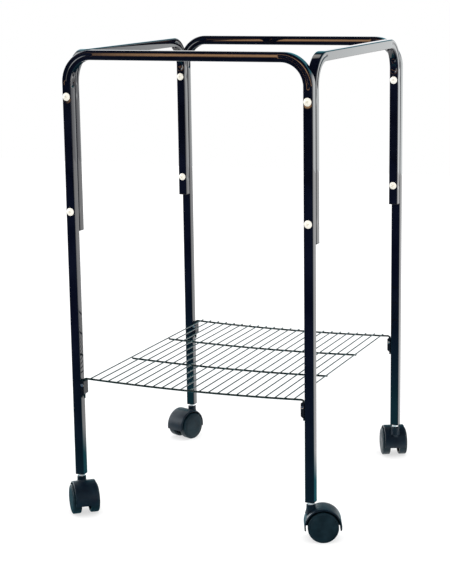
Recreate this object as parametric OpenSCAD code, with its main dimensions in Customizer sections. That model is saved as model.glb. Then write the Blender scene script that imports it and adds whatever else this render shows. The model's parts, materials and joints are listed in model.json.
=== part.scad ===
// Rolling stand for a pet cage: two long-legged tube frames, two short-legged side
// frames bolted between them, a welded wire shelf and four hooded twin-wheel casters.
// The origin is on the floor, midway between the four legs. +X is the stand's right,
// +Y its back and +Z up.

/* [Frame] */
// Outside width of the stand, left to right
frame_width = 430; // [412:2:520]
// Outside depth of the stand, front to back
frame_depth = 476; // [360:2:560]
// Height of the front and rear rails above the floor
frame_height = 776; // [640:2:900]
// Side of the square tube
tube_size = 16; // [15:0.5:19]
// Wall thickness of the tube
tube_wall = 1.2; // [1:0.1:1.4]
// Radius of the tube's rounded edges
tube_edge = 1.5; // [1.5:0.1:2]
// Radius of each bend, to the middle of the tube
bend_radius = 44; // [36:1:60]
// Drop of the side rails below the front and rear rails
side_rail_drop = 2; // [0:0.5:4]
// Drop of the side frames' leg ends below the front and rear rails
side_leg_drop = 297; // [281:1:360]

/* [Frame screws] */
// Drop of the upper screws below the front and rear rails
upper_screw_drop = 75; // [68:1:90]
// Drop of the lower screws below the front and rear rails
lower_screw_drop = 263; // [200:1:270]
// Diameter of a screw's shank
screw_d = 5; // [4:0.5:6]
// Diameter of a screw's domed head
head_d = 13; // [10:0.5:14]
// Height of a screw's domed head
head_h = 3; // [2:0.1:4]

/* [Shelf] */
// Height of the shelf's end wires above the floor, where they enter the brackets
shelf_height = 230; // [180:1:400]
// Sag of the shelf at its middle
shelf_sag = 4; // [2:0.5:6]
// Diameter of the heavy cross wires
cross_wire_d = 3.4; // [3:0.1:3.6]
// Diameter of the thin deck wires
deck_wire_d = 2.2; // [1.8:0.1:2.6]
// Number of deck wires
deck_wires = 23; // [13:1:23]
// Spacing of the deck wires
deck_pitch = 16.5; // [12:0.5:16.5]

/* [Casters] */
// Diameter of a wheel
wheel_d = 50; // [46:1:52]
// Width of a wheel's tread
wheel_w = 14; // [13:0.5:16]
// Width of the gap between a caster's two wheels
wheel_gap = 17; // [16:0.5:20]
// Distance that the wheels trail behind the swivel
caster_trail = 19; // [17:0.5:20]
// Width of a caster's hood
hood_w = 39; // [38:0.5:42]
// Diameter of the neck on a caster's hood
neck_d = 15; // [14:0.5:15.5]
// Way that the front left caster trails, counter-clockwise from the stand's right
front_left_turn = -51; // [-180:1:180]
// Way that the front right caster trails
front_right_turn = 22; // [-180:1:180]
// Way that the rear left caster trails
rear_left_turn = -111; // [-180:1:180]
// Way that the rear right caster trails
rear_right_turn = 117; // [-180:1:180]

/* [Hidden] */
CORNERS = [
    ["front_left", -1, -1, front_left_turn],
    ["front_right", 1, -1, front_right_turn],
    ["rear_left", -1, 1, rear_left_turn],
    ["rear_right", 1, 1, rear_right_turn],
];
CORNER_PIECES = [
    "side_leg_plug", "stem_socket", "shelf_bracket", "caster_stem", "caster_grip_ring",
    "caster_hood", "caster_axle", "caster_wheel_left", "caster_wheel_right",
];

$fn = 48;
eps = 0.01;

// Middles of the legs, and the side frames' place between the long frames
leg_x = (frame_width - tube_size) / 2;
leg_y = (frame_depth - tube_size) / 2;
side_span = frame_depth - 2 * tube_size;
side_leg_y = (side_span - tube_size) / 2;
bore_size = tube_size - 2 * tube_wall;
bore_edge = max(tube_edge - tube_wall, 0.3);
plug_fit = 0.2;
plug_edge = 1;
plug_h = 12;

// Levels, from the floor up
wheel_r = wheel_d / 2;
neck_top = 58.6;
collar_gap = 0.2;
collar_h = 3.8;
socket_foot = neck_top + collar_gap + collar_h;
flange_h = 1.5;
long_foot = socket_foot + flange_h;
side_foot = frame_height - side_leg_drop;

// Screws, nuts and their holes
screw_levels = [frame_height - upper_screw_drop, frame_height - lower_screw_drop];
screw_hole_d = screw_d + 0.4;
grip = 2 * tube_size;
nut_h = 4;
nut_flats = 8;
nut_play = 0.05;
recess_w = 1.1;
recess_l = 5;
recess_deep = 1.5;
head_sphere_r = (pow(head_d / 2, 2) + pow(head_h, 2)) / (2 * head_h);

// Shelf
bracket_t = 6;
bracket_h = 22;
bracket_foot_h = 5;
bracket_top = shelf_height - 3;
wire_from_leg = 3.2;
wire_end_x = frame_width / 2 - tube_size - wire_from_leg;
wire_tail = 4;
weld_sink = 0.3;
elbow_swell = 0.4;
elbow_overlap = 1;
pin_play = 0.2;
middle_wire_y = leg_y / 3;
deck_overhang = 4;
deck_x = (deck_wires - 1) * deck_pitch / 2;
sag_radius = (pow(wire_end_x, 2) + pow(shelf_sag, 2)) / (2 * shelf_sag);
sag_centre_z = shelf_height - shelf_sag + sag_radius;
arc_steps = 24;
set_screw_d = 3;
set_screw_drop = 7;
set_screw_play = 0.1;
set_screw_gap = 0.15;
set_head_d = 5.2;
set_head_h = 1;
set_slot_w = 0.8;

// Casters
hood_wall = 2.4;
hood_room = 2.9;
hood_r = wheel_r + hood_room + hood_wall;
hood_edge = 2;
hood_skirt = 5.5;
web_t = 14;
web_r = 12;
stem_d = 8;
stem_fit = 0.05;
stem_foot = 34;
stem_top = 94;
collar_d = 11.5;
socket_h = 35;
socket_bore_d = 9.2;
ring_h = 5;
ring_foot = 85;
ring_groove_d = 7;
ring_room = 0.5;
ring_play = 0.1;
ring_slit = 1.5;
stem_tip_h = 1;
axle_d = 6;
axle_fit = 0.05;
axle_reach = 19;
axle_end_gap = 0.5;
wheel_edge = 2;
dome_h = 1;
dome_lip_h = 0.4;
dome_r = wheel_r - 3;
dome_shoulder_r = wheel_r - 4;
dome_flat_r = 8;
hub_d = 13;
rim_t = 4;
wheel_recess = 8.5;

// Height of the cross wires' middle line above the floor, at x
function cross_wire_z(x) = sag_centre_z - sqrt(pow(sag_radius, 2) - pow(x, 2));

// A square with round corners, exact at any size
module rounded_square(size, edge) {
    square([size - 2 * edge, size], center = true);
    square([size, size - 2 * edge], center = true);
    for (x = [-1, 1], y = [-1, 1])
        translate([x, y] * (size / 2 - edge)) circle(edge);
}

// A square bar bent into an upside-down U in the XZ plane. span is the outside
// width of the tube's U, top its outside height and foot the level of its two ends.
module hoop(span, top, foot, size, edge) {
    leg = (span - tube_size) / 2;
    rail_z = top - tube_size / 2;
    rail = leg - bend_radius;
    for (side = [0, 1]) mirror([side, 0, 0]) {
        translate([leg, 0, foot])
            linear_extrude(rail_z - bend_radius - foot) rounded_square(size, edge);
        translate([rail, 0, rail_z - bend_radius])
            rotate([90, 0, 0])
            rotate_extrude(angle = 90)
            translate([bend_radius, 0]) rounded_square(size, edge);
    }
    translate([-rail, 0, rail_z])
        rotate([0, 90, 0]) linear_extrude(2 * rail) rounded_square(size, edge);
}

// A hoop of hollow tube with the two pairs of screw holes through its legs
module tube_frame(span, top, foot) {
    difference() {
        hoop(span, top, foot, tube_size, tube_edge);
        hoop(span, top, foot - 1, bore_size, bore_edge);
        for (x = [-1, 1] * (span - tube_size) / 2, z = screw_levels)
            translate([x, 0, z])
                rotate([90, 0, 0]) cylinder(d = screw_hole_d, h = tube_size + 2, center = true);
    }
}

module long_frame(side) {
    color("#15181d")
        translate([0, side * leg_y, 0]) tube_frame(frame_width, frame_height, long_foot);
}

// The side frames run front to back, so their screw holes run along the rail
module side_frame(side) {
    color("#15181d")
        translate([side * leg_x, 0, 0]) difference() {
            rotate([0, 0, 90]) difference() {
                top = frame_height - side_rail_drop;
                hoop(side_span, top, side_foot + flange_h, tube_size, tube_edge);
                hoop(side_span, top, side_foot + flange_h - 1, bore_size, bore_edge);
            }
            for (y = [-1, 1] * side_leg_y, z = screw_levels)
                translate([0, y, z])
                    rotate([90, 0, 0])
                    cylinder(d = screw_hole_d, h = tube_size + 2, center = true);
        }
}

// Puts its child at each screw, with +Z pointing along the screw from the head's seat.
// Each screw passes backwards through two tubes: long then short at the front, and
// short then long at the rear.
module at_screws() {
    for (x = [-1, 1] * leg_x, y = [-frame_depth / 2, frame_depth / 2 - grip], z = screw_levels)
        translate([x, y, z]) rotate([-90, 0, 0]) children();
}

module frame_screws() {
    color("#e9e5d8") at_screws() {
        cylinder(d = screw_d, h = grip + nut_h + 1);
        difference() {
            intersection() {
                translate([0, 0, head_sphere_r - head_h]) sphere(head_sphere_r);
                translate([0, 0, -head_h]) cylinder(d = head_d, h = head_h);
            }
            for (a = [0, 90])
                rotate([0, 0, a])
                    translate([0, 0, -head_h])
                    cube([recess_l, recess_w, 2 * recess_deep], center = true);
        }
    }
}

module frame_nuts() {
    color("#c9c7bf") at_screws()
        translate([0, 0, grip]) difference() {
            cylinder(r = nut_flats / sqrt(3), h = nut_h, $fn = 6);
            translate([0, 0, -1]) cylinder(r = screw_d / 2 + nut_play, h = nut_h + 2);
        }
}

// A push-in plug: a flange as wide as the tube and a stub that fills its bore
module tube_plug(stub_h) {
    linear_extrude(flange_h) rounded_square(tube_size, tube_edge);
    translate([0, 0, flange_h])
        linear_extrude(stub_h) rounded_square(bore_size - 2 * plug_fit, plug_edge);
}

module side_leg_plug(c) {
    color("#202226")
        translate([c[1] * leg_x, c[2] * side_leg_y, side_foot]) tube_plug(plug_h);
}

module stem_socket(c) {
    color("#202226")
        translate([c[1] * leg_x, c[2] * leg_y, socket_foot]) difference() {
            tube_plug(socket_h);
            translate([0, 0, -1]) cylinder(d = socket_bore_d, h = socket_h + flange_h + 2);
        }
}

// A cross wire's long sagging stretch, from -half to half
module sagging_wire(half) {
    angle = asin(half / sag_radius);
    translate([0, 0, sag_centre_z])
        rotate([90, 0, 0])
        rotate([0, 0, -90 - angle])
        rotate_extrude(angle = 2 * angle, $fn = ceil(arc_steps * 180 / angle))
        translate([sag_radius, 0]) circle(d = cross_wire_d, $fn = 24);
}

// An end wire turns down through a thick elbow at each end, into a pin that drops
// through a bracket
module end_wire(y) {
    elbow_d = cross_wire_d + elbow_swell;
    pin_foot = bracket_top - bracket_h - bracket_foot_h - wire_tail;
    color("#1c2422") translate([0, y, 0]) {
        sagging_wire(wire_end_x - elbow_overlap);
        for (x = [-wire_end_x, wire_end_x]) {
            translate([x, 0, shelf_height])
                rotate([0, 90, 0]) cylinder(d = elbow_d, h = elbow_d, center = true);
            translate([x, 0, pin_foot]) cylinder(d = cross_wire_d, h = shelf_height - pin_foot);
        }
    }
}

module middle_wire(y) {
    color("#1c2422") translate([0, y, 0]) sagging_wire(deck_x);
}

// The deck wires lie on the cross wires and are welded to them
module shelf_deck_wires() {
    length = 2 * (leg_y + deck_overhang);
    lift = (cross_wire_d + deck_wire_d) / 2 - weld_sink;
    color("#1c2422") for (i = [0 : deck_wires - 1]) {
        x = -deck_x + i * deck_pitch;
        translate([x, -length / 2, cross_wire_z(x) + lift])
            rotate([-90, 0, 0]) cylinder(d = deck_wire_d, h = length, $fn = 24);
    }
}

// Draws its child at a corner's bracket, with +X pointing into the stand from the
// leg's inner face and the origin at the bracket's top, in the leg's middle plane
module at_bracket(c) {
    translate([c[1] * (frame_width / 2 - tube_size), c[2] * leg_y, bracket_top])
        mirror([c[1] > 0 ? 1 : 0, 0, 0]) children();
}

module shelf_bracket(c) {
    outline = [
        [0, 0], [bracket_t, 0], [bracket_t, -bracket_h], [0, -bracket_h - bracket_foot_h]
    ];
    color("#191b1f") at_bracket(c) difference() {
        rotate([90, 0, 0]) linear_extrude(tube_size, center = true) polygon(outline);
        translate([wire_from_leg, 0, -bracket_h - bracket_foot_h])
            cylinder(d = cross_wire_d + pin_play, h = bracket_h + bracket_foot_h + 1);
        translate([wire_from_leg, 0, -set_screw_drop])
            rotate([90, 0, 0]) cylinder(d = set_screw_d + set_screw_play, h = tube_size);
    }
}

// A set screw in each bracket's front face holds the wire's end
module shelf_set_screws() {
    point = cross_wire_d / 2 + set_screw_gap;
    color("#b9b9b4") for (c = CORNERS)
        at_bracket(c) translate([wire_from_leg, 0, -set_screw_drop]) rotate([90, 0, 0]) {
            translate([0, 0, point]) cylinder(d = set_screw_d, h = tube_size / 2 - point);
            translate([0, 0, tube_size / 2]) difference() {
                cylinder(d = set_head_d, h = set_head_h);
                translate([0, 0, set_head_h])
                    cube([set_head_d + 1, set_slot_w, set_head_h], center = true);
            }
        }
}

// Puts its child in a corner's caster: the swivel's axis is Z, and the wheels trail
// towards +X
module at_swivel(c) {
    translate([c[1] * leg_x, c[2] * leg_y, 0]) rotate([0, 0, c[3]]) children();
}

// The same, with the origin in the middle of the axle and +Z along the axle
module at_axle(c) {
    at_swivel(c) translate([caster_trail, 0, wheel_r]) rotate([90, 0, 0]) children();
}

module caster_stem(c) {
    color("#c4c4c0") at_swivel(c) difference() {
        union() {
            translate([0, 0, stem_foot])
                cylinder(d = stem_d, h = stem_top - stem_tip_h - stem_foot);
            translate([0, 0, stem_top - stem_tip_h])
                cylinder(d1 = stem_d, d2 = stem_d - 2 * stem_tip_h, h = stem_tip_h);
            translate([0, 0, neck_top + collar_gap]) cylinder(d = collar_d, h = collar_h);
        }
        translate([0, 0, ring_foot - ring_room]) difference() {
            cylinder(d = stem_d + 2, h = ring_h + 2 * ring_room);
            translate([0, 0, -1]) cylinder(d = ring_groove_d, h = ring_h + 3);
        }
    }
}

// A split spring ring that grips the socket's bore
module caster_grip_ring(c) {
    color("#9a9a96") at_swivel(c) translate([0, 0, ring_foot]) difference() {
        cylinder(d = socket_bore_d - ring_play, h = ring_h);
        translate([0, 0, -1]) cylinder(d = ring_groove_d + ring_play, h = ring_h + 2);
        translate([0, -ring_slit / 2, -1]) cube([socket_bore_d, ring_slit, ring_h + 2]);
    }
}

// Section of the hood's curved shell: its width along X, and its radius along Y
module hood_section() {
    half = hood_w / 2;
    translate([-half, 0]) square([hood_w, hood_r - hood_edge]);
    translate([-half + hood_edge, 0]) square([hood_w - 2 * hood_edge, hood_r]);
    for (x = [-1, 1] * (half - hood_edge)) translate([x, hood_r - hood_edge]) circle(hood_edge);
}

// The shell covers the wheels from above and reaches a little below the axle
module hood_shell() {
    skirt_angle = asin(hood_skirt / hood_r);
    rotate([0, 0, -skirt_angle])
        rotate_extrude(angle = 180 + 2 * skirt_angle)
        rotate([0, 0, -90])
        difference() {
            hood_section();
            translate([-hood_w, -1]) square([2 * hood_w, hood_r - hood_wall + 1]);
        }
}

// The web between the wheels carries the axle and joins the shell to the neck
module hood_web() {
    linear_extrude(web_t, center = true) {
        circle(web_r);
        intersection() {
            circle(hood_r - hood_wall / 2);
            translate([-hood_r, 0]) square([2 * hood_r, hood_r]);
        }
    }
}

module caster_hood(c) {
    color("#23292c") difference() {
        union() {
            at_axle(c) hood_shell();
            at_axle(c) hood_web();
            at_swivel(c) translate([0, 0, wheel_r]) cylinder(d = neck_d, h = neck_top - wheel_r);
        }
        at_swivel(c) translate([0, 0, stem_foot - 1])
            cylinder(r = stem_d / 2 + stem_fit, h = neck_top - stem_foot + 2);
        at_axle(c) cylinder(d = axle_d, h = web_t + 2, center = true);
    }
}

module caster_axle(c) {
    color("#c4c4c0") at_axle(c) cylinder(d = axle_d, h = 2 * axle_reach, center = true);
}

// Half section of a wheel: its radius along X, and Y outwards along the axle
module wheel_section() {
    inner = wheel_gap / 2;
    outer = inner + wheel_w;
    difference() {
        union() {
            translate([0, inner]) square([wheel_r - wheel_edge, wheel_w]);
            translate([0, inner + wheel_edge]) square([wheel_r, wheel_w - 2 * wheel_edge]);
            for (y = [inner + wheel_edge, outer - wheel_edge])
                translate([wheel_r - wheel_edge, y]) circle(wheel_edge);
            polygon([
                [0, outer - eps], [dome_r, outer - eps], [dome_shoulder_r, outer + dome_lip_h],
                [dome_flat_r, outer + dome_h], [0, outer + dome_h],
            ]);
        }
        translate([hub_d / 2, inner - 1])
            square([wheel_r - rim_t - hub_d / 2, wheel_recess + 1]);
        translate([0, inner - 1])
            square([axle_d / 2 + axle_fit, axle_reach + axle_end_gap - inner + 1]);
    }
}

// Looking from the stem the way that the wheels trail, side is 1 for the wheel on the
// left and -1 for the wheel on the right
module caster_wheel(c, side) {
    color("#2b3234") at_axle(c)
        mirror([0, 0, side > 0 ? 1 : 0]) rotate_extrude() wheel_section();
}

long_frame(-1);  // front_frame
long_frame(1);  // rear_frame
side_frame(-1);  // left_side_frame
side_frame(1);  // right_side_frame
frame_screws();
frame_nuts();
end_wire(-leg_y);  // shelf_front_wire
middle_wire(-middle_wire_y);  // shelf_front_middle_wire
middle_wire(middle_wire_y);  // shelf_rear_middle_wire
end_wire(leg_y);  // shelf_rear_wire
shelf_deck_wires();
shelf_set_screws();
for (c = CORNERS) {
    side_leg_plug(c);
    stem_socket(c);
    shelf_bracket(c);
    caster_stem(c);
    caster_grip_ring(c);
    caster_hood(c);
    caster_axle(c);
    caster_wheel(c, 1);
    caster_wheel(c, -1);
}
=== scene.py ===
"""The looks of the rolling cage stand: enamelled square tube, a wire shelf and casters.

Everything is in metres in the CAD's frame: the origin is on the floor midway between
the legs, +X is the stand's right, +Y its back and +Z up.
"""
import json
import math

import bmesh
import bpy
from mathutils import Matrix, Vector


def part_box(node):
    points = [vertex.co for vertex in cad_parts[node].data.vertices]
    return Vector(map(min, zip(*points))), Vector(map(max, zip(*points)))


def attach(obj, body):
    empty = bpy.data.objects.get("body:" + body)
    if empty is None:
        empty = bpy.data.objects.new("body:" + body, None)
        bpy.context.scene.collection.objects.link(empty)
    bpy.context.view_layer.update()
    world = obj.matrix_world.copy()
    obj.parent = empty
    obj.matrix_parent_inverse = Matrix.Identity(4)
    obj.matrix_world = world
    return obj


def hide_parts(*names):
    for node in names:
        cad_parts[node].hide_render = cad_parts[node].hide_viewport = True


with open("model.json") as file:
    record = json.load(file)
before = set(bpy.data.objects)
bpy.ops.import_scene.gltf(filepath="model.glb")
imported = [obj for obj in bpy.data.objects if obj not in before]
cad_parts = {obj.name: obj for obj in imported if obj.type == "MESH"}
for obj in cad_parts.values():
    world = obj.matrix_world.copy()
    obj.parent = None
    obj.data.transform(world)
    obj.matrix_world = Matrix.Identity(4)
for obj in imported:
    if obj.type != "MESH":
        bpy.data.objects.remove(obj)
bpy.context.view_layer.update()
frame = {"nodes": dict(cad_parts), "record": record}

MM = 0.001
CORNERS = ("front_left", "front_right", "rear_left", "rear_right")
END_WIRES = ("shelf_front_wire", "shelf_rear_wire")
MIDDLE_WIRES = ("shelf_front_middle_wire", "shelf_rear_middle_wire")

# Square tube
TUBE = 16 * MM
TUBE_EDGE = 2.3 * MM
CROWN = 0.08 * MM
BEND_RADIUS = 44 * MM

# Marks of the bending press. Distances run along the tube from where a bend starts.
PRESS_REACH = 9 * MM
SECTION_GAP = 0.9 * MM
LEG_GAP = 1 * MM
GROOVE_DEPTH = 4.5 * MM
GROOVE_START = 8 * MM
GROOVE_RUN_OUT = 14 * MM
GROOVE_BOWL = 1.4
CREASE_DEPTH = 0.9 * MM
CREASE_HALF = 2.2 * MM
CREASE_AT = 1.0 * MM
CREASE_START = -5 * MM
CREASE_RUN_OUT = 9 * MM
DIMPLE_DEPTH = 1.5 * MM
DIMPLE_WALL = 0.45
DIMPLE_RADIUS = 5.8 * MM
DIMPLE_BACK = 3 * MM
DIMPLE_TAIL = 14 * MM

# As shares of the tube's half width: where its inner wall and its side walls begin, and
# the groove's half width at its ends and how much more it has in the middle
INNER_WALL = 0.7
SIDE_WALL = 0.8
GROOVE_NARROW = 0.3
GROOVE_WIDENS = 0.52

# Frame screws, and the dents they pull into the tubes' walls
HEAD_RADIUS = 6.5 * MM
HEAD_HEIGHT = 3 * MM
HEAD_RIM = 0.3 * MM
RECESS_REACH = 2.9 * MM
RECESS_HALF = 0.62 * MM
RECESS_DEPTH = 1.6 * MM
SHANK_RADIUS = 2.5 * MM
SCREW_LENGTH = 37 * MM
DENT_DEPTH = 0.45 * MM
DENT_RADIUS = 13 * MM

# Each screw has stopped at its own turn: degrees, and degrees for each metre across and up
SCREW_TURN = 37
SCREW_TURN_ACROSS = 4000
SCREW_TURN_UP = 900

# Shelf wires and brackets
CROSS_WIRE = 3.4 * MM
DECK_WIRE = 2.2 * MM
DECK_WIRES = 23
DECK_WIRE_ROUNDING = 2 * MM
WELD_SINK = 0.3 * MM
SHELF_SAG = 4 * MM
ELBOW = 4.5 * MM
WIRE_STEPS = 24
BRACKET_THICKNESS = 6 * MM
BRACKET_FOOT = 5 * MM
BRACKET_ROUND = 1.2 * MM
BRACKET_EDGE = 0.5 * MM
WELD_RADIUS = 0.95 * MM
WELD_RIPPLE = 0.14 * MM
WELD_RIPPLE_TURN = 2.1
WELD_DEPTH = 0.2 * MM
WELD_SHARE = 0.9

# Plugs and sockets in the legs' ends
FLANGE = 1.5 * MM
FLANGE_EDGE = 0.6 * MM
PLUG_STUB = 12 * MM
SOCKET_STUB = 35 * MM
STUB_HALF = 6.6 * MM
STUB_EDGE = 1 * MM

# Caster wheels
WHEEL_RADIUS = 25 * MM
WHEEL_INNER = 8.5 * MM
WHEEL_OUTER = 22.5 * MM
WHEEL_CROWN = 0.9 * MM
WHEEL_DISH = 8.5 * MM
RIM_WIDTH = 4 * MM
HUB_RADIUS = 6.5 * MM
BORE_RADIUS = 3.05 * MM
BORE_END = 19.5 * MM
RIBS = 6
RIB_HALF = 0.7 * MM

# Caster hoods: heights are above the floor
HOOD_RADIUS = 30.3 * MM
HOOD_WALL = 2.4 * MM
HOOD_HALF = 19.5 * MM
HOOD_SKIRT = 5.5 * MM
HOOD_LIP = 0.4 * MM
HOOD_SHOULDER = 1.9 * MM
WEB_HALF = 7 * MM
WEB_FOOT = 12 * MM
NECK_RADIUS = 7.5 * MM
NECK_FOOT = 26 * MM
NECK_TOP = 58.6 * MM
NECK_CHAMFER = 0.7 * MM

# Caster stems: heights are above the floor
STEM_RADIUS = 4 * MM
STEM_FOOT = 34 * MM
STEM_TOP = 94 * MM
STEM_PLAY = 0.05 * MM
COLLAR_RADIUS = 5.75 * MM
COLLAR_FOOT = 58.8 * MM
COLLAR_TOP = 62.6 * MM
RING_GROOVE_RADIUS = 3.5 * MM
RING_GROOVE_FOOT = 84.5 * MM
RING_GROOVE_TOP = 90.5 * MM

# Camera: where it is, its turn about Z, its tilt and its roll in degrees
CAMERA_AT = (1.0384, -2.5173, 0.9172)
CAMERA_TURN = 23.09
CAMERA_TILT = -11.56
CAMERA_ROLL = -0.87
LENS = 101.08
SENSOR = 36
FAR_CLIP = 100

# Floor and world: the size of the floor, and how strong each light is
FLOOR_HALF = 4.0
PAPER_LIFT = 0.6
# how strongly the floor glows as a painted reflection in glossy rays
PAINTED_FLOOR_REFLECTION = 1.8
ROOM_IN_GLOSS = 1
EVEN_LIGHT = 1.5
WHITE_SEEN = 1


# ---------------------------------------------------------------- mesh helpers

def new_mesh(name, data, weld):
    """A mesh whose normals face outwards; weld joins the points that coincide."""
    mesh = bpy.data.meshes.new(name)
    mesh.from_pydata([tuple(v) for v in data.verts], [], data.faces)
    bm = bmesh.new()
    bm.from_mesh(mesh)
    if weld:
        bmesh.ops.remove_doubles(bm, verts=bm.verts, dist=1e-7)
    bmesh.ops.recalc_face_normals(bm, faces=bm.faces)
    bm.to_mesh(mesh)
    bm.free()
    return mesh


def new_object(name, mesh):
    obj = bpy.data.objects.new(name, mesh)
    bpy.context.scene.collection.objects.link(obj)
    return obj


def build(node, data, material, body, smooth_angle=35):
    """Stands a detailed piece in for a CAD node, shaded smooth below the given angle."""
    name = node + "_look"
    mesh = new_mesh(name, data, weld=True)
    mesh.materials.append(material)
    for polygon in mesh.polygons:
        polygon.use_smooth = True
    mesh.set_sharp_from_angle(angle=math.radians(smooth_angle))
    piece = new_object(name, mesh)
    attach(piece, body)
    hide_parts(node)


class MeshData:
    """Vertices and faces gathered from several shapes."""

    def __init__(self):
        self.verts = []
        self.faces = []

    def rings(self, rings, closed=False, caps=True):
        """Joins rings of equal length with quads; closed joins the last to the first."""
        start = len(self.verts)
        size = len(rings[0])
        count = len(rings)
        for ring in rings:
            self.verts.extend(ring)
        for i in range(count if closed else count - 1):
            low = start + i * size
            high = start + (i + 1) % count * size
            for k in range(size):
                after = (k + 1) % size
                self.faces.append((low + k, low + after, high + after, high + k))
        if caps and not closed:
            self.faces.append(tuple(range(start + size - 1, start - 1, -1)))
            self.faces.append(tuple(range(start + (count - 1) * size, start + count * size)))

    def add(self, other, matrix):
        """Adds another shape's mesh, moved by the matrix."""
        start = len(self.verts)
        self.verts.extend(matrix @ Vector(v) for v in other.verts)
        self.faces.extend(tuple(start + k for k in face) for face in other.faces)


def full_turn(count):
    """Evenly spaced angles all the way round."""
    return [2 * math.pi * k / count for k in range(count)]


def ring_at(radius, z, segments):
    """A level circle of points about Z."""
    return [Vector((radius * math.cos(a), radius * math.sin(a), z)) for a in full_turn(segments)]


def lathe(profile, segments=64):
    """Turns a closed outline of (radius, height) points about Z."""
    data = MeshData()
    rings = []
    for a in full_turn(segments):
        rings.append([Vector((r * math.cos(a), r * math.sin(a), z)) for r, z in profile])
    data.rings(rings, closed=True)
    return data


def rounded(points, radii, steps=5):
    """A closed outline with each corner rounded to its radius."""
    outline = []
    count = len(points)
    for i, corner in enumerate(points):
        radius = radii[i] if isinstance(radii, (list, tuple)) else radii
        here = Vector(corner)
        back = (Vector(points[i - 1]) - here).normalized()
        ahead = (Vector(points[(i + 1) % count]) - here).normalized()
        if radius <= 0:
            outline.append(here)
            continue
        half = back.angle(ahead) / 2
        centre = here + (back + ahead).normalized() * radius / math.sin(half)
        first = here + back * (radius / math.tan(half)) - centre
        turned_left = back.x * ahead.y - back.y * ahead.x < 0
        sweep_angle = (math.pi - 2 * half) * (1 if turned_left else -1)
        for k in range(steps + 1):
            outline.append(centre + Matrix.Rotation(sweep_angle * k / steps, 2) @ first)
    return outline


def sweep(path, radius, sides=16, round_ends=True):
    """A round wire along a path of points; radius is a number or one for each point."""
    data = MeshData()
    radii = radius if isinstance(radius, list) else [radius] * len(path)
    points = [Vector(p) for p in path]
    if round_ends:
        points, radii = with_round_ends(points, radii)
    side = None
    rings = []
    for i, point in enumerate(points):
        ahead = points[min(i + 1, len(points) - 1)] - points[max(i - 1, 0)]
        ahead.normalize()
        if side is None:
            side = ahead.orthogonal().normalized()
        side = (side - ahead * side.dot(ahead)).normalized()
        up = ahead.cross(side)
        rings.append([point + (side * math.cos(a) + up * math.sin(a)) * radii[i]
                      for a in full_turn(sides)])
    data.rings(rings)
    return data


def with_round_ends(points, radii):
    """Adds the small rings that round off a wire's two cut ends."""
    cap = ((0.0, 0.55), (0.12, 0.8), (0.35, 0.96))  # way in and width, in shares of the radius
    first = (points[1] - points[0]).normalized()
    last = (points[-1] - points[-2]).normalized()
    head = [points[0] + first * (part * radii[0]) for part, _ in cap]
    tail = [points[-1] - last * (part * radii[-1]) for part, _ in reversed(cap)]
    head_radii = [grow * radii[0] for _, grow in cap]
    tail_radii = [grow * radii[-1] for _, grow in reversed(cap)]
    return head + points[1:-1] + tail, head_radii + radii[1:-1] + tail_radii


def square_stack(levels, per_corner=5):
    """A square bar built up of (height, half width, corner radius) sections."""
    data = MeshData()
    rings = []
    for z, half, edge in levels:
        corners = [(half, -half), (half, half), (-half, half), (-half, -half)]
        rings.append([Vector((p.x, p.y, z)) for p in rounded(corners, edge, per_corner)])
    data.rings(rings)
    return data


def combine(base, others, operation):
    """The exact union or difference of closed shapes, as mesh data."""
    solid = new_object("solid", new_mesh("solid", base, weld=False))
    tools = [new_object("tool", new_mesh("tool", other, weld=False)) for other in others]
    for tool in tools:
        modifier = solid.modifiers.new("combine", "BOOLEAN")
        modifier.operation = operation
        modifier.solver = "EXACT"
        modifier.object = tool
    mesh = solid.evaluated_get(bpy.context.evaluated_depsgraph_get()).to_mesh()
    data = MeshData()
    data.verts = [v.co.copy() for v in mesh.vertices]
    data.faces = [tuple(p.vertices) for p in mesh.polygons]
    for obj in [solid] + tools:
        bpy.data.objects.remove(obj)
    return data


def moved(data, matrix):
    """A copy of a shape, moved by the matrix."""
    copy = MeshData()
    copy.add(data, matrix)
    return copy


def smoothstep(x):
    """A soft step that rises from 0 at x = 0 to 1 at x = 1."""
    x = min(1.0, max(0.0, x))
    return x * x * (3 - 2 * x)


# ---------------------------------------------------------------- materials

def new_material(name):
    """A material with its Principled shader and node tree."""
    material = bpy.data.materials.new(name)
    material.use_nodes = True
    tree = material.node_tree
    return material, tree, tree.nodes["Principled BSDF"]


def noise(tree, scale, detail=3.0, roughness=0.5):
    """A noise texture in object space; scale is per metre."""
    coords = tree.nodes.new("ShaderNodeTexCoord")
    node = tree.nodes.new("ShaderNodeTexNoise")
    node.inputs["Scale"].default_value = scale
    node.inputs["Detail"].default_value = detail
    node.inputs["Roughness"].default_value = roughness
    tree.links.new(coords.outputs["Object"], node.inputs["Vector"])
    return node.outputs["Fac"]


def ramp(tree, value, stops):
    """A colour ramp with (position, colour) stops."""
    node = tree.nodes.new("ShaderNodeValToRGB")
    elements = node.color_ramp.elements
    while len(elements) < len(stops):
        elements.new(0.5)
    for element, (position, colour) in zip(elements, stops):
        element.position = position
        element.color = (*colour, 1)
    tree.links.new(value, node.inputs["Fac"])
    return node.outputs["Color"]


def grey_range(tree, value, low, high, from_min=0.35, from_max=0.65):
    """Maps a texture onto a plain range of numbers."""
    node = tree.nodes.new("ShaderNodeMapRange")
    node.inputs["From Min"].default_value = from_min
    node.inputs["From Max"].default_value = from_max
    node.inputs["To Min"].default_value = low
    node.inputs["To Max"].default_value = high
    tree.links.new(value, node.inputs["Value"])
    return node.outputs["Result"]


def bump(tree, height, distance):
    """A bump of the given depth."""
    node = tree.nodes.new("ShaderNodeBump")
    node.inputs["Distance"].default_value = distance
    tree.links.new(height, node.inputs["Height"])
    return node.outputs["Normal"]


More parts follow.
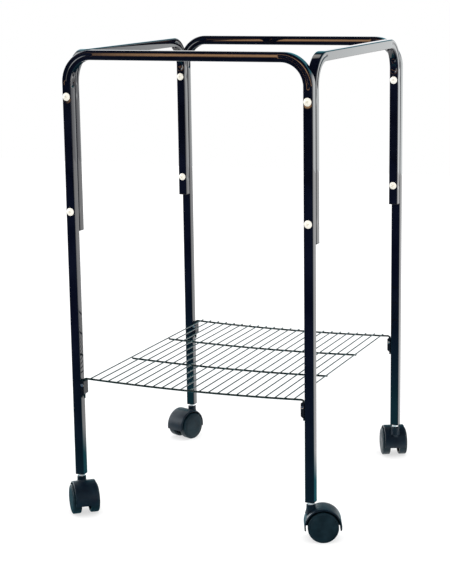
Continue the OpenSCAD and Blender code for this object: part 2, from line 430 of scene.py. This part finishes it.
def enamel(name, dark, light, gloss=(0.06, 0.16), peel=0.02 * MM, sheen=0.5, peel_scale=420):
    """Glossy paint with a faint orange peel and uneven polish."""
    material, tree, shader = new_material(name)
    shader.inputs["Specular IOR Level"].default_value = sheen
    tone = ramp(tree, noise(tree, 18, 4), [(0.35, dark), (0.7, light)])
    tree.links.new(tone, shader.inputs["Base Color"])
    polish = grey_range(tree, noise(tree, 45, 5, 0.6), *gloss)
    tree.links.new(polish, shader.inputs["Roughness"])
    tree.links.new(bump(tree, noise(tree, peel_scale, 2), peel), shader.inputs["Normal"])
    return material


def moulded_plastic(name, dark, light, rough, sheen):
    """Matte nylon with a fine moulded grain and a little handling wear."""
    material, tree, shader = new_material(name)
    shader.inputs["Specular IOR Level"].default_value = sheen
    tone = ramp(tree, noise(tree, 60, 5, 0.6), [(0.35, dark), (0.68, light)])
    tree.links.new(tone, shader.inputs["Base Color"])
    worn = grey_range(tree, noise(tree, 90, 4, 0.6), rough - 0.07, rough + 0.07)
    tree.links.new(worn, shader.inputs["Roughness"])
    tree.links.new(bump(tree, noise(tree, 1500, 3, 0.6), 0.05 * MM), shader.inputs["Normal"])
    return material


def bare_metal(name, colour, shade, rough, metallic=1.0):
    """Plated or polished steel with fine uneven polish; a pale plating is less metallic."""
    material, tree, shader = new_material(name)
    tone = ramp(tree, noise(tree, 150, 4), [(0.35, shade), (0.65, colour)])
    tree.links.new(tone, shader.inputs["Base Color"])
    shader.inputs["Metallic"].default_value = metallic
    polish = grey_range(tree, noise(tree, 300, 4, 0.6), rough, rough + 0.12)
    tree.links.new(polish, shader.inputs["Roughness"])
    tree.links.new(bump(tree, noise(tree, 2500, 2), 0.01 * MM), shader.inputs["Normal"])
    return material


BLACK = enamel("black_enamel", (0.0012, 0.0016, 0.004), (0.003, 0.004, 0.009), (0.008, 0.02),
               0.006 * MM, peel_scale=160)
BRACKET_BLACK = enamel("bracket_enamel", (0.002, 0.003, 0.006), (0.006, 0.008, 0.012), (0.2, 0.35),
                       sheen=0.16)
WIRE = enamel("wire_coating", (0.004, 0.012, 0.011), (0.010, 0.024, 0.022), (0.2, 0.35), 0.04 * MM)
CREAM = enamel("cream_screw_enamel", (0.72, 0.69, 0.6), (0.85, 0.82, 0.74), (0.2, 0.35))
PLUG = moulded_plastic("black_plug_plastic", (0.006, 0.007, 0.009), (0.014, 0.015, 0.018), 0.4, 0.3)
HOOD = moulded_plastic("hood_nylon", (0.0006, 0.005, 0.012), (0.002, 0.011, 0.02), 0.42, 0.22)
WHEEL = moulded_plastic("wheel_nylon", (0.0015, 0.009, 0.014), (0.005, 0.018, 0.026), 0.5, 0.13)
BRIGHT = bare_metal("bright_steel", (0.86, 0.87, 0.88), (0.74, 0.75, 0.76), 0.2, 0.45)
PLATED = bare_metal("plated_steel", (0.62, 0.62, 0.6), (0.48, 0.48, 0.46), 0.25)


# ---------------------------------------------------------------- bent tubes

def tube_outline(per_side=19, per_corner=5):
    """The square section as (outward, sideways) points, evenly spaced along each side."""
    half = TUBE / 2
    flat = half - TUBE_EDGE
    points = []
    directions = ((1, 0, 0, 1), (0, 1, -1, 0), (-1, 0, 0, -1), (0, -1, 1, 0))
    for out_u, out_v, along_u, along_v in directions:
        for k in range(per_side):
            t = flat * (2 * k / (per_side - 1) - 1)
            points.append((out_u * half + along_u * t, out_v * half + along_v * t))
        centre_u = (out_u + along_u) * flat
        centre_v = (out_v + along_v) * flat
        for k in range(1, per_corner):
            turn = math.atan2(out_v, out_u) + math.pi / 2 * k / per_corner
            points.append((centre_u + TUBE_EDGE * math.cos(turn),
                           centre_v + TUBE_EDGE * math.sin(turn)))
    return [crowned(u, v) for u, v in points]


def dimple(s, v):
    """Depth of the press's teardrop mark: a sloping wall round a flat floor."""
    from_middle = s + DIMPLE_BACK
    along = from_middle / (DIMPLE_RADIUS if from_middle < 0 else DIMPLE_TAIL)
    inside = 1 - math.hypot(along, v / DIMPLE_RADIUS)
    return DIMPLE_DEPTH * min(1.0, max(0.0, inside / DIMPLE_WALL))


def crowned(u, v):
    """Sinks the section's walls towards their edges, so that each is slightly domed."""
    half = TUBE / 2
    flat = half - TUBE_EDGE
    if abs(u) > abs(v):
        return u - math.copysign(CROWN * min(1.0, (v / flat) ** 2), u), v
    return u, v - math.copysign(CROWN * min(1.0, (u / flat) ** 2), v)


def pressed(point, s, arc):
    """Moves a point of the section as the bending press does.

    s is the distance along the tube from the start of a bend that is arc long. The inner
    wall gets a groove with a teardrop mark at each end of it, and each side wall a crease.
    """
    u, v = point
    half = TUBE / 2
    from_end = min(s, arc - s)
    if u < -INNER_WALL * half:
        groove = smoothstep((from_end - GROOVE_START) / GROOVE_RUN_OUT)
        groove_half = (GROOVE_NARROW + GROOVE_WIDENS * groove) * half
        bowl = max(0.0, 1 - (v / groove_half) ** 2) ** GROOVE_BOWL
        u += max(GROOVE_DEPTH * groove * bowl, dimple(from_end, v))
    elif abs(v) > SIDE_WALL * half:
        crease = smoothstep((from_end - CREASE_START) / CREASE_RUN_OUT)
        fold = max(0.0, 1 - abs(u - CREASE_AT) / CREASE_HALF)
        v -= math.copysign(CREASE_DEPTH * crease * fold, v)
    return u, v


def bend_steps(arc, at_each_end=36, between=14):
    """Distances along a bend at which to place sections, closer together at its ends."""
    fine = [k * SECTION_GAP - PRESS_REACH for k in range(at_each_end)]
    gap = (arc - 2 * fine[-1]) / between
    middle = [fine[-1] + gap * k for k in range(1, between)]
    return fine + middle + [arc - s for s in reversed(fine)]


def screw_heights():
    """The heights of the lower and the upper frame screws."""
    low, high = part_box("frame_screws")
    return low[2] + HEAD_RADIUS, high[2] - HEAD_RADIUS


def leg_rings(outline, leg, foot, end, screws, each_way=7):
    """Rings up a straight leg, its walls pulled in a little about each screw."""
    heights = [foot]
    for screw_z in screws:
        steps = [screw_z + DENT_RADIUS * k / each_way for k in range(-each_way, each_way + 1)]
        heights += [z for z in steps if foot < z < end]
    rings = []
    for z in heights + [end]:
        ring = []
        for u, v in outline:
            near = min(abs(z - screw_z) for screw_z in screws)
            off = math.hypot(near, u) / DENT_RADIUS
            dent = DENT_DEPTH * max(0.0, 1 - off) ** 2 if abs(v) > abs(u) else 0.0
            ring.append(Vector((leg + u, v - math.copysign(dent, v), z)))
        rings.append(ring)
    return rings


def hoop(leg, top, foot):
    """Rings of the section along a U-bend in the XZ plane, from one foot to the other."""
    centre_x = leg - BEND_RADIUS
    centre_z = top - TUBE / 2 - BEND_RADIUS
    arc = BEND_RADIUS * math.pi / 2
    outline = tube_outline()
    leg_end = centre_z - PRESS_REACH - LEG_GAP
    right = leg_rings(outline, leg, foot, leg_end, screw_heights())
    for s in bend_steps(arc):
        along = min(max(s, 0.0), arc)
        turn = along / BEND_RADIUS
        over = s - along
        out = Vector((math.cos(turn), 0, math.sin(turn)))
        ahead = Vector((-math.sin(turn), 0, math.cos(turn)))
        middle = Vector((centre_x, 0, centre_z)) + out * BEND_RADIUS + ahead * over
        moved_outline = [pressed(point, s, arc) for point in outline]
        right.append([middle + out * u + Vector((0, v, 0)) for u, v in moved_outline])
    left = [[Vector((-p.x, p.y, p.z)) for p in ring] for ring in reversed(right)]
    return right + left


def tube_frame(node, along_y):
    """A bent frame in place of its CAD node."""
    low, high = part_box(node)
    axis = 1 if along_y else 0
    leg = (high[axis] - low[axis] - TUBE) / 2
    data = MeshData()
    data.rings(hoop(leg, high[2], low[2]))
    middle = (Vector(low) + Vector(high)) / 2
    turn = Matrix.Rotation(math.pi / 2 if along_y else 0, 4, "Z")
    place = Matrix.Translation((middle.x, middle.y, 0)) @ turn
    build(node, moved(data, place), BLACK, "stand", 32)


for node in ("front_frame", "rear_frame"):
    tube_frame(node, along_y=False)
for node in ("left_side_frame", "right_side_frame"):
    tube_frame(node, along_y=True)


# ---------------------------------------------------------------- screws

def dome_height(x, y):
    """How far a screw's domed head stands out at a point of its face, recess taken off."""
    sphere = (HEAD_RADIUS ** 2 + HEAD_HEIGHT ** 2) / (2 * HEAD_HEIGHT)
    height = math.sqrt(sphere ** 2 - x * x - y * y) - sphere + HEAD_HEIGHT
    across, along = sorted((abs(x), abs(y)))
    if across < RECESS_HALF and along < RECESS_REACH:
        height -= RECESS_DEPTH * (1 - (along / RECESS_REACH) ** 2)
    return max(height, HEAD_RIM)


def screw_head(rings=16, segments=48):
    """A domed head with a cross recess, its seat at z = 0 and its top towards -Z."""
    layers = [[Vector((0, 0, 0))] * segments]
    layers.append(ring_at(HEAD_RADIUS - HEAD_RIM, 0, segments))
    layers.append(ring_at(HEAD_RADIUS, -HEAD_RIM, segments))
    for i in range(1, rings + 1):
        circle = ring_at(HEAD_RADIUS * (1 - i / rings), 0, segments)
        layers.append([Vector((p.x, p.y, -dome_height(p.x, p.y))) for p in circle])
    data = MeshData()
    data.rings(layers, caps=False)
    return data


def screw():
    """A screw along Z with its head below z = 0; its shank runs a little into the head."""
    r = SHANK_RADIUS
    shank = MeshData()
    turns = ((r - 0.3 * MM, -0.4 * MM), (r, 0), (r, SCREW_LENGTH - 0.8 * MM),
             (r - 0.5 * MM, SCREW_LENGTH))
    shank.rings([ring_at(radius, z, 32) for radius, z in turns])
    shank.add(screw_head(), Matrix.Identity(4))
    return shank


def frame_screws():
    """All eight screws; each one's head is on the front of the two tubes it joins."""
    data = MeshData()
    one = screw()
    front_low, front_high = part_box("front_frame")
    rear_low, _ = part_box("rear_frame")
    leg_x = front_high[0] - TUBE / 2
    face_front = Matrix.Rotation(-math.pi / 2, 4, "X")
    for x in (-leg_x, leg_x):
        for y in (front_low[1], rear_low[1] - TUBE):
            for z in screw_heights():
                turn = math.radians(SCREW_TURN + SCREW_TURN_ACROSS * x + SCREW_TURN_UP * z)
                place = Matrix.Translation((x, y, z)) @ face_front @ Matrix.Rotation(turn, 4, "Z")
                data.add(one, place)
    build("frame_screws", data, CREAM, "stand", 40)


frame_screws()


# ---------------------------------------------------------------- shelf

def elbow(x, y, z, steps=8):
    """A quarter turn of wire from running along X to running down."""
    turns = [math.pi / 2 * k / steps for k in range(1, steps + 1)]
    return [Vector((x + ELBOW * math.sin(a), y, z - ELBOW * (1 - math.cos(a)))) for a in turns]


def cross_wire_path(node, elbows):
    """The middle line of a sagging cross wire, with turned-down ends if it has any."""
    low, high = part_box(node)
    y = (low[1] + high[1]) / 2
    if elbows:
        reach = high[0] - CROSS_WIRE / 2
        half = reach - ELBOW
        sag = SHELF_SAG
        lowest = high[2] - CROSS_WIRE / 2 - sag
    else:
        reach = half = high[0]
        sag = high[2] - low[2] - CROSS_WIRE
        lowest = low[2] + CROSS_WIRE / 2
    right = []
    for k in range(WIRE_STEPS + 1):
        x = half * k / WIRE_STEPS
        right.append(Vector((x, y, lowest + sag * (x / reach) ** 2)))
    if elbows:
        right += elbow(half, y, right[-1].z)
        right.append(Vector((reach, y, low[2])))
    left = [Vector((-p.x, p.y, p.z)) for p in reversed(right[1:])]
    return left + right


def cross_wires():
    """The four heavy wires; the front and rear ones turn down into the brackets."""
    for node in END_WIRES + MIDDLE_WIRES:
        path = cross_wire_path(node, elbows=node in END_WIRES)
        build(node, sweep(path, CROSS_WIRE / 2), WIRE, "stand", 60)


def weld_bead():
    """The small round bead at a crossing of two wires: 3 mm across and 1.8 mm high."""
    profile = ((0.0, -0.9), (1.1, -0.6), (1.5, 0.0), (1.1, 0.6), (0.0, 0.9))
    return lathe([(radius * MM, z * MM) for radius, z in profile], 10)


def deck_wires():
    """The thin wires, with a weld bead where each one crosses a heavy wire."""
    low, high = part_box("shelf_deck_wires")
    boxes = [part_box(node) for node in END_WIRES + MIDDLE_WIRES]
    crossings = [(box[0][1] + box[1][1]) / 2 for box in boxes]
    half = high[0] - DECK_WIRE / 2
    sag = high[2] - low[2] - DECK_WIRE
    middle_wire_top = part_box(MIDDLE_WIRES[0])[0][2] + CROSS_WIRE
    lowest = middle_wire_top - WELD_SINK + DECK_WIRE / 2
    ends = (low[1], low[1] + DECK_WIRE_ROUNDING, high[1] - DECK_WIRE_ROUNDING, high[1])
    bead = weld_bead()
    data = MeshData()
    for i in range(DECK_WIRES):
        x = half * (2 * i / (DECK_WIRES - 1) - 1)
        z = lowest + sag * (x / half) ** 2
        data.add(sweep([(x, y, z) for y in ends], DECK_WIRE / 2, 12), Matrix.Identity(4))
        for y in crossings:
            data.add(bead, Matrix.Translation((x, y, z - DECK_WIRE / 2)))
    build("shelf_deck_wires", data, WIRE, "stand", 60)


def bracket_block(leg, inner, y, half, foot, top):
    """A block on a leg's inner face, sloped below, with softened front and rear edges."""
    outline = rounded([(0, foot), (BRACKET_THICKNESS, foot + BRACKET_FOOT),
                       (BRACKET_THICKNESS, top), (0, top)],
                      [0, BRACKET_ROUND, BRACKET_ROUND, 0])
    layers = []
    for offset, inset in ((-half, BRACKET_EDGE), (BRACKET_EDGE - half, 0),
                          (half - BRACKET_EDGE, 0), (half, BRACKET_EDGE)):
        ring = []
        for p in outline:
            out = max(0.0, p.x - inset)
            rise = min(max(p.y, foot + inset), top - inset)
            ring.append(Vector((leg + inner * out, y + offset, rise)))
        layers.append(ring)
    data = MeshData()
    data.rings(layers)
    return data


def weld_line(x, y, half, z, points=25):
    """A rippled weld along Y, its ripple turning on by a fixed angle from point to point."""
    path = [(x, y + half * (2 * k / (points - 1) - 1), z) for k in range(points)]
    radii = [WELD_RADIUS + WELD_RIPPLE * math.cos(WELD_RIPPLE_TURN * k) for k in range(points)]
    return sweep(path, radii, 10)


def bracket(corner):
    """A welded block with its weld lines above and below."""
    low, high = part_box(corner + "_shelf_bracket")
    inner = 1 if high[0] < 0 else -1
    leg = low[0] if inner > 0 else high[0]
    y = (low[1] + high[1]) / 2
    half = (high[1] - low[1]) / 2
    data = bracket_block(leg, inner, y, half, low[2], high[2])
    weld_x = leg + inner * WELD_DEPTH
    for z in (high[2], low[2]):
        data.add(weld_line(weld_x, y, WELD_SHARE * half, z), Matrix.Identity(4))
    build(corner + "_shelf_bracket", data, BRACKET_BLACK, "stand")


cross_wires()
deck_wires()
for corner in CORNERS:
    bracket(corner)


# ---------------------------------------------------------------- tube ends

def tube_end(node, stub):
    """A flange as wide as the tube, with softened edges, and the stub inside the tube."""
    half = TUBE / 2
    levels = [  # height, half width and corner radius
        (0, half - FLANGE_EDGE, TUBE_EDGE),
        (0.25 * MM, half - 0.15 * MM, TUBE_EDGE),
        (FLANGE_EDGE, half, TUBE_EDGE),
        (FLANGE, half, TUBE_EDGE),
        (FLANGE, STUB_HALF, STUB_EDGE),
        (FLANGE + stub, STUB_HALF, STUB_EDGE)]
    low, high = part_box(node)
    middle = ((low[0] + high[0]) / 2, (low[1] + high[1]) / 2, low[2])
    data = moved(square_stack(levels), Matrix.Translation(middle))
    build(node, data, PLUG, "stand")


for corner in CORNERS:
    tube_end(corner + "_side_leg_plug", PLUG_STUB)
    tube_end(corner + "_stem_socket", SOCKET_STUB)


# ---------------------------------------------------------------- casters

def hood_shell(trail, axle_z, steps=72):
    """The curved cover, turned about the axle from one skirt edge over to the other."""
    inner = HOOD_RADIUS - HOOD_WALL
    outline = rounded([(-HOOD_HALF, inner), (HOOD_HALF, inner),
                       (HOOD_HALF, HOOD_RADIUS), (-HOOD_HALF, HOOD_RADIUS)],
                      [HOOD_LIP, HOOD_LIP, HOOD_SHOULDER, HOOD_SHOULDER])
    below = math.asin(HOOD_SKIRT / HOOD_RADIUS)
    rings = []
    for k in range(steps + 1):
        turn = -below + (math.pi + 2 * below) * k / steps
        x, z = math.cos(turn), math.sin(turn)
        rings.append([Vector((trail + r * x, y, axle_z + r * z)) for y, r in outline])
    data = MeshData()
    data.rings(rings)
    return data


def half_turn(radius, start, steps):
    """Points of a half circle from the start angle on."""
    turns = [start + math.pi * k / steps for k in range(steps + 1)]
    return [(radius * math.cos(a), radius * math.sin(a)) for a in turns]


def hood_web(trail, axle_z):
    """The wall between the wheels: round about the axle and filled up to the cover."""
    outline = half_turn(HOOD_RADIUS - HOOD_WALL / 2, 0, 40) + half_turn(WEB_FOOT, math.pi, 24)
    data = MeshData()
    data.rings([[Vector((trail + x, y, axle_z + z)) for x, z in outline]
                for y in (-WEB_HALF, WEB_HALF)])
    return data


def hood_neck():
    """The neck about the stem, flared where it grows out of the cover."""
    r = NECK_RADIUS
    flare = ((42, 0.5), (44, 2.2), (48, 1.0), (51, 0.25), (53.5, 0))  # height and swell in mm
    outline = [(0, NECK_FOOT), (r, NECK_FOOT)]
    outline += [(r + swell * MM, z * MM) for z, swell in flare]
    outline += [(r, NECK_TOP - NECK_CHAMFER), (r - NECK_CHAMFER, NECK_TOP), (0, NECK_TOP)]
    return lathe(outline, 64)


def hood(trail, axle_z):
    """The hood as one closed shape, with the stem's bore through its neck."""
    r = STEM_RADIUS + STEM_PLAY
    foot = STEM_FOOT - 1 * MM
    top = NECK_TOP + 2 * MM
    bore = lathe([(0, foot), (r, foot), (r, top), (0, top)], 48)
    body = combine(hood_shell(trail, axle_z), [hood_web(trail, axle_z), hood_neck()], "UNION")
    return combine(body, [bore], "DIFFERENCE")


def wheel_section():
    """Half a wheel's section, its outer face upwards."""
    r, inner, outer = WHEEL_RADIUS, WHEEL_INNER, WHEEL_OUTER
    dish = inner + WHEEL_DISH
    corners = (  # radius, height and rounding
        # the crowned face and the ring groove round it
        (0, outer + WHEEL_CROWN, 0),
        (17 * MM, outer + WHEEL_CROWN, 8 * MM),
        (20.9 * MM, outer + 0.35 * MM, 0.3 * MM),
        (21.3 * MM, outer - 0.25 * MM, 0.2 * MM),
        (22.0 * MM, outer - 0.25 * MM, 0.2 * MM),
        (22.4 * MM, outer + 0.1 * MM, 0.5 * MM),
        # the tread
        (r, outer - 0.9 * MM, 1.9 * MM),
        (r, inner, 1.6 * MM),
        # the hollow back, the hub and its bore
        (r - RIM_WIDTH, inner, 0.3 * MM),
        (r - RIM_WIDTH, dish, 0.5 * MM),
        (HUB_RADIUS, dish, 0.5 * MM),
        (HUB_RADIUS, inner, 0.3 * MM),
        (BORE_RADIUS, inner, 0),
        (BORE_RADIUS, BORE_END, 0),
        (0, BORE_END, 0))
    points = [(radius, height) for radius, height, _ in corners]
    return rounded(points, [rounding for _, _, rounding in corners], 4)


def wheel():
    """A wheel about Z with its outer face upwards: soft tread, ringed face, ribbed back."""
    data = lathe(wheel_section(), 72)
    low = WHEEL_INNER + 1.2 * MM
    high = WHEEL_INNER + WHEEL_DISH + 0.5 * MM
    near = HUB_RADIUS - 0.7 * MM
    far = WHEEL_RADIUS - RIM_WIDTH + 0.6 * MM
    corners = [(near, low + 1 * MM), (far, low), (far, high), (near, high)]
    rib = MeshData()
    rib.rings([[Vector((x, y, z)) for x, z in corners] for y in (-RIB_HALF, RIB_HALF)])
    for turn in full_turn(RIBS):
        data.add(rib, Matrix.Rotation(turn, 4, "Z"))
    return data


def stem():
    """The bright stem: chamfered ends, a collar with a soft rim and the ring's groove."""
    r, c, groove = STEM_RADIUS, COLLAR_RADIUS, RING_GROOVE_RADIUS
    outline = [(0, STEM_FOOT), (r - 0.6 * MM, STEM_FOOT), (r, STEM_FOOT + 0.6 * MM),
               (r, COLLAR_FOOT), (c - 0.5 * MM, COLLAR_FOOT), (c, COLLAR_FOOT + 0.5 * MM),
               (c, COLLAR_TOP - 0.3 * MM), (c - 0.3 * MM, COLLAR_TOP), (r, COLLAR_TOP),
               (r, RING_GROOVE_FOOT), (groove, RING_GROOVE_FOOT),
               (groove, RING_GROOVE_TOP), (r, RING_GROOVE_TOP),
               (r, STEM_TOP - 1 * MM), (r - 1 * MM, STEM_TOP), (0, STEM_TOP)]
    return lathe(outline, 48)


def joint_named(name):
    """A joint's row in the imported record."""
    joints = frame["record"]["behaviour"]["joints"]
    return next(joint for joint in joints if joint["name"] == name)


def caster(corner, hood_data, wheel_data, stem_data):
    """One caster, turned the way its axle lies from its swivel."""
    pivot = Vector(joint_named(corner + "_swivel_turn")["pos_m"])
    axle = Vector(joint_named(corner + "_wheel_left_roll")["pos_m"])
    turn = math.atan2(axle.y - pivot.y, axle.x - pivot.x)
    place = Matrix.Translation((pivot.x, pivot.y, 0)) @ Matrix.Rotation(turn, 4, "Z")
    build(corner + "_caster_hood", moved(hood_data, place), HOOD,
          corner + "_swivel", 40)
    build(corner + "_caster_stem", moved(stem_data, place), BRIGHT, "stand")
    at_axle = Matrix.Translation(axle) @ Matrix.Rotation(turn, 4, "Z")
    for side, lean in (("left", -1), ("right", 1)):
        tilt = Matrix.Rotation(lean * math.pi / 2, 4, "X")
        build(f"{corner}_caster_wheel_{side}", moved(wheel_data, at_axle @ tilt), WHEEL,
              f"{corner}_wheel_{side}", 40)


def casters():
    """Four casters of the same shapes."""
    pivot = Vector(joint_named("front_left_swivel_turn")["pos_m"])
    axle = Vector(joint_named("front_left_wheel_left_roll")["pos_m"])
    trail = (axle - pivot).to_2d().length
    shapes = hood(trail, axle.z), wheel(), stem()
    for corner in CORNERS:
        caster(corner, *shapes)


casters()


# ---------------------------------------------------------------- CAD nodes kept

def paint(material, *nodes):
    """Gives CAD nodes that stay as they are a better material."""
    for node in nodes:
        mesh = frame["nodes"][node].data
        mesh.materials.clear()
        mesh.materials.append(material)


paint(PLATED, "frame_nuts", "shelf_set_screws")
for corner in CORNERS:
    paint(BRIGHT, corner + "_caster_axle")
    paint(PLATED, corner + "_caster_grip_ring")


# ---------------------------------------------------------------- floor, light, camera

def painted_floor_reflection(tree):
    """Painted reflection: in glossy rays the floor glows dark in front, then teal, then white
    behind.
    """
    coords = tree.nodes.new("ShaderNodeTexCoord")
    split = tree.nodes.new("ShaderNodeSeparateXYZ")
    tree.links.new(coords.outputs["Object"], split.inputs["Vector"])
    dark_until, white_from = -1.5, 0.2
    depth = grey_range(tree, split.outputs["Y"], 0, 1, dark_until, white_from)
    teal = (0.04, 0.24, 0.3)
    tone = ramp(tree, depth, [(0.0, (0.012, 0.02, 0.07)), (0.42, (0.014, 0.05, 0.1)),
                              (0.68, (0.025, 0.13, 0.18)), (0.81, teal), (0.91, teal),
                              (1.0, (1.0, 1.0, 1.0))])
    # the floor's painted reflection: an emission in the ramp's colours, seen only by glossy rays
    seen = tree.nodes.new("ShaderNodeEmission")
    seen.inputs["Strength"].default_value = PAINTED_FLOOR_REFLECTION
    tree.links.new(tone, seen.inputs["Color"])
    return seen.outputs["Emission"]


def white_paper(tree):
    """Matte white that takes soft shadows, lifted to the white of the backdrop."""
    white = tree.nodes.new("ShaderNodeBsdfDiffuse")
    white.inputs["Color"].default_value = (0.42, 0.42, 0.42, 1)
    lift = tree.nodes.new("ShaderNodeEmission")
    lift.inputs["Strength"].default_value = PAPER_LIFT
    paper = tree.nodes.new("ShaderNodeAddShader")
    tree.links.new(white.outputs["BSDF"], paper.inputs[0])
    tree.links.new(lift.outputs["Emission"], paper.inputs[1])
    return paper.outputs["Shader"]


def make_floor():
    """A plain white floor. In glossy rays it glows with a painted reflection whose front part is a
    dark room.
    """
    mesh = bpy.data.meshes.new("floor")
    corners = [(x * FLOOR_HALF, y * FLOOR_HALF, 0) for x, y in ((-1, -1), (1, -1), (1, 1), (-1, 1))]
    mesh.from_pydata(corners, [], [(0, 1, 2, 3)])
    material = bpy.data.materials.new("floor_white")
    material.use_nodes = True
    tree = material.node_tree
    tree.nodes.clear()
    path = tree.nodes.new("ShaderNodeLightPath")
    seen = mixed(tree, path.outputs["Is Glossy Ray"], white_paper(tree), painted_floor_reflection(tree))
    output = tree.nodes.new("ShaderNodeOutputMaterial")
    tree.links.new(seen, output.inputs["Surface"])
    mesh.materials.append(material)
    new_object("floor", mesh)


def scaled(tree, value, colour):
    """A colour times a number."""
    scale = tree.nodes.new("ShaderNodeVectorMath")
    scale.operation = "SCALE"
    scale.inputs[0].default_value = colour
    tree.links.new(value, scale.inputs["Scale"])
    return scale.outputs["Vector"]


def added(tree, first, second):
    """The sum of two colours."""
    add = tree.nodes.new("ShaderNodeVectorMath")
    add.operation = "ADD"
    tree.links.new(first, add.inputs[0])
    tree.links.new(second, add.inputs[1])
    return add.outputs["Vector"]


def product(tree, first, second):
    """The product of two numbers."""
    times = tree.nodes.new("ShaderNodeMath")
    times.operation = "MULTIPLY"
    tree.links.new(first, times.inputs[0])
    tree.links.new(second, times.inputs[1])
    return times.outputs["Value"]


def step(tree, value, low, high):
    """A soft step from 0 at low to 1 at high."""
    node = tree.nodes.new("ShaderNodeMapRange")
    node.interpolation_type = "SMOOTHSTEP"
    node.inputs["From Min"].default_value = low
    node.inputs["From Max"].default_value = high
    tree.links.new(value, node.inputs["Value"])
    return node.outputs["Result"]


def glow(tree, direction, inner, outer, colour, total):
    """Adds a soft patch of light in the sky, full within inner degrees and gone at outer."""
    coords = tree.nodes.new("ShaderNodeTexCoord")
    dot = tree.nodes.new("ShaderNodeVectorMath")
    dot.operation = "DOT_PRODUCT"
    dot.inputs[1].default_value = Vector(direction).normalized()
    tree.links.new(coords.outputs["Generated"], dot.inputs[0])
    low, high = math.cos(math.radians(outer)), math.cos(math.radians(inner))
    spot = step(tree, dot.outputs["Value"], low, high)
    return added(tree, total, scaled(tree, spot, colour))


def seen_direction(tree):
    """The three parts of the direction in which the world is seen."""
    coords = tree.nodes.new("ShaderNodeTexCoord")
    split = tree.nodes.new("ShaderNodeSeparateXYZ")
    tree.links.new(coords.outputs["Generated"], split.inputs["Vector"])
    return split.outputs["X"], split.outputs["Y"], split.outputs["Z"]


def patch(tree, total, colour, edges, strength=None):
    """Adds a patch of light bounded by soft steps, each a (value, dark, lit) edge.

    strength, where it is given, varies the light within the patch.
    """
    for value, dark, lit in edges:
        edge = step(tree, value, dark, lit)
        strength = edge if strength is None else product(tree, strength, edge)
    return added(tree, total, scaled(tree, strength, colour))


def wood_grain(tree):
    """Level streaks, as of stacked boards."""
    coords = tree.nodes.new("ShaderNodeTexCoord")
    stretch = tree.nodes.new("ShaderNodeMapping")
    stretch.inputs["Scale"].default_value = (2, 2, 100)
    tree.links.new(coords.outputs["Generated"], stretch.inputs["Vector"])
    streaks = tree.nodes.new("ShaderNodeTexNoise")
    streaks.inputs["Scale"].default_value = 1
    streaks.inputs["Detail"].default_value = 3
    tree.links.new(stretch.outputs["Vector"], streaks.inputs["Vector"])
    return step(tree, streaks.outputs["Fac"], 0.3, 0.6)


def reflected_room(tree):
    """What the gloss shows: a dark room in front with a band of wood, a white backdrop
    behind with teal above it, softboxes at the sides and two small lights high up."""
    base = tree.nodes.new("ShaderNodeCombineXYZ")
    for i, value in enumerate((0.012, 0.018, 0.05)):
        base.inputs[i].default_value = value
    room = base.outputs["Vector"]
    x, y, z = seen_direction(tree)
    backdrop = [(y, 0.3, 0.75), (z, 0.24, 0.12)]
    room = patch(tree, room, (1.25, 1.25, 1.25), backdrop)
    above_backdrop = [(y, 0.2, 0.5), (z, 0.12, 0.26), (z, 0.7, 0.4)]
    room = patch(tree, room, (0.1, 0.5, 0.58), above_backdrop)
    wood = [(y, -0.7, -0.8), (x, -0.49, -0.42), (z, -0.068, -0.06), (z, -0.02, -0.035)]
    room = patch(tree, room, (8.5, 4.9, 2.4), wood, wood_grain(tree))
    lights = (  # direction, angles of full light and of none, colour
        ((0.29, 0.95, -0.05), 3, 13, (1.2, 1.27, 1.24)),
        ((-0.38, 0.43, 0.81), 4, 14, (2.6, 2.5, 2.3)),
        ((-0.78, -0.45, 0.43), 6, 20, (5.0, 5.2, 5.3)),
        ((-1, 0.3, 0.15), 10, 48, (4.8, 4.9, 5.0)),
        ((1, -0.2, 0.2), 6, 26, (2.5, 2.6, 2.7)))
    for direction, inner, outer, colour in lights:
        room = glow(tree, direction, inner, outer, colour, room)
    return room


def mixed(tree, when, otherwise, then):
    """One shader, or another where the factor is 1."""
    mix = tree.nodes.new("ShaderNodeMixShader")
    tree.links.new(when, mix.inputs["Fac"])
    tree.links.new(otherwise, mix.inputs[1])
    tree.links.new(then, mix.inputs[2])
    return mix.outputs["Shader"]


def background(tree, strength):
    """A plain white world of the given strength."""
    node = tree.nodes.new("ShaderNodeBackground")
    node.inputs["Color"].default_value = (1, 1, 1, 1)
    node.inputs["Strength"].default_value = strength
    return node


def make_sky():
    """White behind the stand for the camera, even light for everything and a room to reflect."""
    world = bpy.data.worlds.new("studio")
    bpy.context.scene.world = world
    world.use_nodes = True
    tree = world.node_tree
    tree.nodes.clear()
    room = background(tree, ROOM_IN_GLOSS)
    tree.links.new(reflected_room(tree), room.inputs["Color"])
    light = background(tree, EVEN_LIGHT)
    white = background(tree, WHITE_SEEN)
    path = tree.nodes.new("ShaderNodeLightPath")
    seen = mixed(tree, path.outputs["Is Glossy Ray"], light.outputs["Background"],
                 room.outputs["Background"])
    seen = mixed(tree, path.outputs["Is Camera Ray"], seen, white.outputs["Background"])
    output = tree.nodes.new("ShaderNodeOutputWorld")
    tree.links.new(seen, output.inputs["Surface"])


def make_camera():
    """The photo's view: from the front right, a little above the stand's top."""
    data = bpy.data.cameras.new("camera")
    data.lens = LENS
    data.sensor_width = SENSOR
    data.clip_end = FAR_CLIP
    camera = new_object("camera", data)
    turn = Matrix.Rotation(math.radians(CAMERA_TURN), 4, "Z")
    tilt = Matrix.Rotation(math.radians(90 + CAMERA_TILT), 4, "X")
    roll = Matrix.Rotation(math.radians(CAMERA_ROLL), 4, "Z")
    camera.matrix_world = Matrix.Translation(CAMERA_AT) @ turn @ tilt @ roll
    bpy.context.scene.camera = camera


make_floor()
make_sky()
make_camera()
bpy.context.scene.view_settings.view_transform = "Standard"
